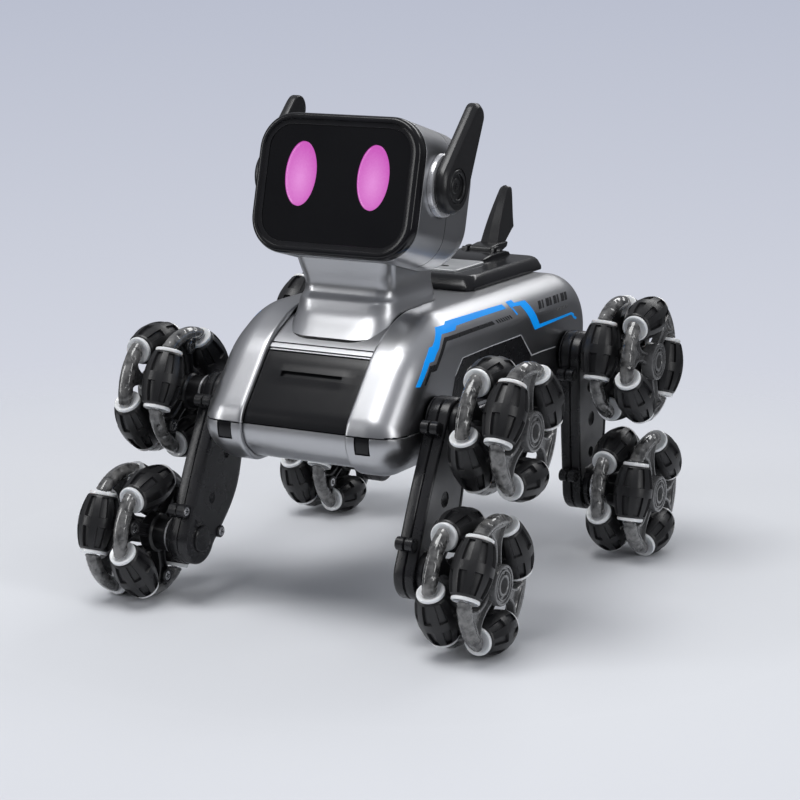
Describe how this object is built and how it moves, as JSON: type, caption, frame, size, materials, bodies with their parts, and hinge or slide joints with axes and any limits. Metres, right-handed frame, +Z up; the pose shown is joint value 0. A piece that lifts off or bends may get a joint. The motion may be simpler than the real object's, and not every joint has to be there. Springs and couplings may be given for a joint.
{
  "type": "robot dog toy",
  "caption": "Robot dog toy with a screen face, tilting ears and tail, and swinging legs that each carry two omnidirectional roller wheels.",
  "frame": {"origin": "on the floor below the middle of the toy's overall length and width, legs in their rest stance", "axes": "+Z up; the dog faces -Y; its left side is +X"},
  "size_m": [0.1538, 0.1808, 0.1679],
  "materials": {
    "silver_paint": "satin metallic silver paint on plastic",
    "gloss_black": "gloss black",
    "satin_black": "satin black",
    "screen_glass": "polished black screen",
    "eye_glow": "lit magenta diffuser",
    "leg_plastic": "satin black moulding",
    "smoke_plastic": "smoky translucent grey, glossy",
    "roller_rubber": "black rubber with white end caps",
    "battery_wrap": "blue shrink wrap",
    "board_green": "green circuit board",
    "motor_steel": "plated motor cans with plastic gearboxes"
  },
  "bodies": {
    "torso": {"body_upper_shell": "silver_paint", "body_lower_shell": "silver_paint", "front_panel": "gloss_black", "back_saddle": "satin_black", "neck_shell": "silver_paint", "head_shell": "silver_paint", "face_bezel": "satin_black", "face_screen": "screen_glass", "eye_lights": "eye_glow", "battery_pack": "battery_wrap", "circuit_board": "board_green", "drive_motors": "motor_steel"},
    "left_ear": {"ear_left": "satin_black"},
    "right_ear": {"ear_right": "satin_black"},
    "tail": {"tail_fin": "satin_black"},
    "switch": {"power_switch": "satin_black"},
    "front_left_leg": {"front_left_leg_inner_shell": "leg_plastic", "front_left_leg_outer_shell": "leg_plastic"},
    "front_right_leg": {"front_right_leg_inner_shell": "leg_plastic", "front_right_leg_outer_shell": "leg_plastic"},
    "rear_left_leg": {"rear_left_leg_inner_shell": "leg_plastic", "rear_left_leg_outer_shell": "leg_plastic"},
    "rear_right_leg": {"rear_right_leg_inner_shell": "leg_plastic", "rear_right_leg_outer_shell": "leg_plastic"},
    "front_left_upper_wheel": {"front_left_upper_wheel": "smoke_plastic", "front_left_upper_rollers": "roller_rubber"},
    "front_left_lower_wheel": {"front_left_lower_wheel": "smoke_plastic"},
    "front_left_lower_roller_1": {"front_left_lower_roller_1": "roller_rubber"},
    "front_left_lower_roller_2": {"front_left_lower_roller_2": "roller_rubber"},
    "front_left_lower_roller_3": {"front_left_lower_roller_3": "roller_rubber"},
    "front_left_lower_roller_4": {"front_left_lower_roller_4": "roller_rubber"},
    "front_left_lower_roller_5": {"front_left_lower_roller_5": "roller_rubber"},
    "front_left_lower_roller_6": {"front_left_lower_roller_6": "roller_rubber"},
    "front_right_upper_wheel": {"front_right_upper_wheel": "smoke_plastic", "front_right_upper_rollers": "roller_rubber"},
    "front_right_lower_wheel": {"front_right_lower_wheel": "smoke_plastic"},
    "front_right_lower_roller_1": {"front_right_lower_roller_1": "roller_rubber"},
    "front_right_lower_roller_2": {"front_right_lower_roller_2": "roller_rubber"},
    "front_right_lower_roller_3": {"front_right_lower_roller_3": "roller_rubber"},
    "front_right_lower_roller_4": {"front_right_lower_roller_4": "roller_rubber"},
    "front_right_lower_roller_5": {"front_right_lower_roller_5": "roller_rubber"},
    "front_right_lower_roller_6": {"front_right_lower_roller_6": "roller_rubber"},
    "rear_left_upper_wheel": {"rear_left_upper_wheel": "smoke_plastic", "rear_left_upper_rollers": "roller_rubber"},
    "rear_left_lower_wheel": {"rear_left_lower_wheel": "smoke_plastic"},
    "rear_left_lower_roller_1": {"rear_left_lower_roller_1": "roller_rubber"},
    "rear_left_lower_roller_2": {"rear_left_lower_roller_2": "roller_rubber"},
    "rear_left_lower_roller_3": {"rear_left_lower_roller_3": "roller_rubber"},
    "rear_left_lower_roller_4": {"rear_left_lower_roller_4": "roller_rubber"},
    "rear_left_lower_roller_5": {"rear_left_lower_roller_5": "roller_rubber"},
    "rear_left_lower_roller_6": {"rear_left_lower_roller_6": "roller_rubber"},
    "rear_right_upper_wheel": {"rear_right_upper_wheel": "smoke_plastic", "rear_right_upper_rollers": "roller_rubber"},
    "rear_right_lower_wheel": {"rear_right_lower_wheel": "smoke_plastic"},
    "rear_right_lower_roller_1": {"rear_right_lower_roller_1": "roller_rubber"},
    "rear_right_lower_roller_2": {"rear_right_lower_roller_2": "roller_rubber"},
    "rear_right_lower_roller_3": {"rear_right_lower_roller_3": "roller_rubber"},
    "rear_right_lower_roller_4": {"rear_right_lower_roller_4": "roller_rubber"},
    "rear_right_lower_roller_5": {"rear_right_lower_roller_5": "roller_rubber"},
    "rear_right_lower_roller_6": {"rear_right_lower_roller_6": "roller_rubber"}
  },
  "joints": [
    {"name": "front_left_leg_swing", "type": "hinge", "parent": "torso", "child": "front_left_leg", "pos_m": [0.043, -0.0455, 0.06794], "axis": [1, 0, 0], "range_deg": [-64, 40]},
    {"name": "front_right_leg_swing", "type": "hinge", "parent": "torso", "child": "front_right_leg", "pos_m": [-0.043, -0.0455, 0.06794], "axis": [1, 0, 0], "range_deg": [-64, 40]},
    {"name": "rear_left_leg_swing", "type": "hinge", "parent": "torso", "child": "rear_left_leg", "pos_m": [0.043, 0.0585, 0.07281], "axis": [1, 0, 0], "range_deg": [-30, 85]},
    {"name": "rear_right_leg_swing", "type": "hinge", "parent": "torso", "child": "rear_right_leg", "pos_m": [-0.043, 0.0585, 0.07281], "axis": [1, 0, 0], "range_deg": [-30, 85]},
    {"name": "ear_left_tilt", "type": "hinge", "parent": "torso", "child": "left_ear", "pos_m": [0.0325, -0.027, 0.142], "axis": [1, 0, 0], "range_deg": [-30, 45]},
    {"name": "ear_right_tilt", "type": "hinge", "parent": "torso", "child": "right_ear", "pos_m": [-0.0325, -0.027, 0.142], "axis": [1, 0, 0], "range_deg": [-30, 45]},
    {"name": "tail_tilt", "type": "hinge", "parent": "torso", "child": "tail", "pos_m": [0, 0.0653, 0.1064], "axis": [1, 0, 0], "range_deg": [-6, 40]},
    {"name": "underside_switch_slide", "type": "slide", "parent": "torso", "child": "switch", "axis": [0, 1, 0], "range_m": [0, 0.003]},
    {"name": "wheel_front_left_upper", "type": "hinge", "parent": "front_left_leg", "child": "front_left_upper_wheel", "pos_m": [0.064, -0.0455, 0.06794], "axis": [1, 0, 0], "continuous": true},
    {"name": "wheel_front_left_lower", "type": "hinge", "parent": "front_left_leg", "child": "front_left_lower_wheel", "pos_m": [0.064, -0.06742, 0.023], "axis": [1, 0, 0], "continuous": true},
    {"name": "wheel_front_right_upper", "type": "hinge", "parent": "front_right_leg", "child": "front_right_upper_wheel", "pos_m": [-0.064, -0.0455, 0.06794], "axis": [1, 0, 0], "continuous": true},
    {"name": "wheel_front_right_lower", "type": "hinge", "parent": "front_right_leg", "child": "front_right_lower_wheel", "pos_m": [-0.064, -0.06742, 0.023], "axis": [1, 0, 0], "continuous": true},
    {"name": "wheel_rear_left_upper", "type": "hinge", "parent": "rear_left_leg", "child": "rear_left_upper_wheel", "pos_m": [0.064, 0.0585, 0.07281], "axis": [1, 0, 0], "continuous": true},
    {"name": "wheel_rear_left_lower", "type": "hinge", "parent": "rear_left_leg", "child": "rear_left_lower_wheel", "pos_m": [0.064, 0.06286, 0.023], "axis": [1, 0, 0], "continuous": true},
    {"name": "wheel_rear_right_upper", "type": "hinge", "parent": "rear_right_leg", "child": "rear_right_upper_wheel", "pos_m": [-0.064, 0.0585, 0.07281], "axis": [1, 0, 0], "continuous": true},
    {"name": "wheel_rear_right_lower", "type": "hinge", "parent": "rear_right_leg", "child": "rear_right_lower_wheel", "pos_m": [-0.064, 0.06286, 0.023], "axis": [1, 0, 0], "continuous": true},
    {"name": "z_roller_front_left_1", "type": "hinge", "parent": "front_left_lower_wheel", "child": "front_left_lower_roller_1", "pos_m": [0.07, -0.08136, 0.03105], "axis": [0, -0.5, -0.866], "continuous": true},
    {"name": "z_roller_front_left_2", "type": "hinge", "parent": "front_left_lower_wheel", "child": "front_left_lower_roller_2", "pos_m": [0.07, -0.06742, 0.0069], "axis": [0, 1, 0], "continuous": true},
    {"name": "z_roller_front_left_3", "type": "hinge", "parent": "front_left_lower_wheel", "child": "front_left_lower_roller_3", "pos_m": [0.07, -0.05348, 0.03105], "axis": [0, -0.5, 0.866], "continuous": true},
    {"name": "z_roller_front_left_4", "type": "hinge", "parent": "front_left_lower_wheel", "child": "front_left_lower_roller_4", "pos_m": [0.058, -0.08136, 0.01495], "axis": [0, 0.5, -0.866], "continuous": true},
    {"name": "z_roller_front_left_5", "type": "hinge", "parent": "front_left_lower_wheel", "child": "front_left_lower_roller_5", "pos_m": [0.058, -0.05348, 0.01495], "axis": [0, 0.5, 0.866], "continuous": true},
    {"name": "z_roller_front_left_6", "type": "hinge", "parent": "front_left_lower_wheel", "child": "front_left_lower_roller_6", "pos_m": [0.058, -0.06742, 0.0391], "axis": [0, -1, 0], "continuous": true},
    {"name": "z_roller_front_right_1", "type": "hinge", "parent": "front_right_lower_wheel", "child": "front_right_lower_roller_1", "pos_m": [-0.07, -0.08264, 0.02824], "axis": [0, -0.3256, -0.9455], "continuous": true},
    {"name": "z_roller_front_right_2", "type": "hinge", "parent": "front_right_lower_wheel", "child": "front_right_lower_roller_2", "pos_m": [-0.07, -0.06435, 0.0072], "axis": [0, 0.9816, 0.1908], "continuous": true},
    {"name": "z_roller_front_right_3", "type": "hinge", "parent": "front_right_lower_wheel", "child": "front_right_lower_roller_3", "pos_m": [-0.07, -0.05527, 0.03356], "axis": [0, -0.6561, 0.7547], "continuous": true},
    {"name": "z_roller_front_right_4", "type": "hinge", "parent": "front_right_lower_wheel", "child": "front_right_lower_roller_4", "pos_m": [-0.058, -0.07957, 0.01244], "axis": [0, 0.6561, -0.7547], "continuous": true},
    {"name": "z_roller_front_right_5", "type": "hinge", "parent": "front_right_lower_wheel", "child": "front_right_lower_roller_5", "pos_m": [-0.058, -0.0522, 0.01776], "axis": [0, 0.3256, 0.9455], "continuous": true},
    {"name": "z_roller_front_right_6", "type": "hinge", "parent": "front_right_lower_wheel", "child": "front_right_lower_roller_6", "pos_m": [-0.058, -0.07049, 0.0388], "axis": [0, -0.9816, -0.1908], "continuous": true},
    {"name": "z_roller_rear_left_1", "type": "hinge", "parent": "rear_left_lower_wheel", "child": "rear_left_lower_roller_1", "pos_m": [0.07, 0.04724, 0.02689], "axis": [0, -0.2419, -0.9703], "continuous": true},
    {"name": "z_roller_rear_left_2", "type": "hinge", "parent": "rear_left_lower_wheel", "child": "rear_left_lower_roller_2", "pos_m": [0.07, 0.0673, 0.00752], "axis": [0, 0.9613, 0.2756], "continuous": true},
    {"name": "z_roller_rear_left_3", "type": "hinge", "parent": "rear_left_lower_wheel", "child": "rear_left_lower_roller_3", "pos_m": [0.07, 0.07404, 0.03458], "axis": [0, -0.7193, 0.6947], "continuous": true},
    {"name": "z_roller_rear_left_4", "type": "hinge", "parent": "rear_left_lower_wheel", "child": "rear_left_lower_roller_4", "pos_m": [0.058, 0.05167, 0.01142], "axis": [0, 0.7193, -0.6947], "continuous": true},
    {"name": "z_roller_rear_left_5", "type": "hinge", "parent": "rear_left_lower_wheel", "child": "rear_left_lower_roller_5", "pos_m": [0.058, 0.07848, 0.01911], "axis": [0, 0.2419, 0.9703], "continuous": true},
    {"name": "z_roller_rear_left_6", "type": "hinge", "parent": "rear_left_lower_wheel", "child": "rear_left_lower_roller_6", "pos_m": [0.058, 0.05842, 0.03848], "axis": [0, -0.9613, -0.2756], "continuous": true},
    {"name": "z_roller_rear_right_1", "type": "hinge", "parent": "rear_right_lower_wheel", "child": "rear_right_lower_roller_1", "pos_m": [-0.07, 0.06286, 0.0391], "axis": [0, -1, 0], "continuous": true},
    {"name": "z_roller_rear_right_2", "type": "hinge", "parent": "rear_right_lower_wheel", "child": "rear_right_lower_roller_2", "pos_m": [-0.07, 0.04892, 0.01495], "axis": [0, 0.5, -0.866], "continuous": true},
    {"name": "z_roller_rear_right_3", "type": "hinge", "parent": "rear_right_lower_wheel", "child": "rear_right_lower_roller_3", "pos_m": [-0.07, 0.0768, 0.01495], "axis": [0, 0.5, 0.866], "continuous": true},
    {"name": "z_roller_rear_right_4", "type": "hinge", "parent": "rear_right_lower_wheel", "child": "rear_right_lower_roller_4", "pos_m": [-0.058, 0.04892, 0.03105], "axis": [0, -0.5, -0.866], "continuous": true},
    {"name": "z_roller_rear_right_5", "type": "hinge", "parent": "rear_right_lower_wheel", "child": "rear_right_lower_roller_5", "pos_m": [-0.058, 0.06286, 0.0069], "axis": [0, 1, 0], "continuous": true},
    {"name": "z_roller_rear_right_6", "type": "hinge", "parent": "rear_right_lower_wheel", "child": "rear_right_lower_roller_6", "pos_m": [-0.058, 0.0768, 0.03105], "axis": [0, -0.5, 0.866], "continuous": true}
  ],
  "couplings": [
    {"joint": "wheel_front_left_lower", "follows": "wheel_front_left_upper", "ratio": 1},
    {"joint": "wheel_front_right_lower", "follows": "wheel_front_right_upper", "ratio": 1},
    {"joint": "wheel_rear_left_lower", "follows": "wheel_rear_left_upper", "ratio": 1},
    {"joint": "wheel_rear_right_lower", "follows": "wheel_rear_right_upper", "ratio": 1}
  ]
}
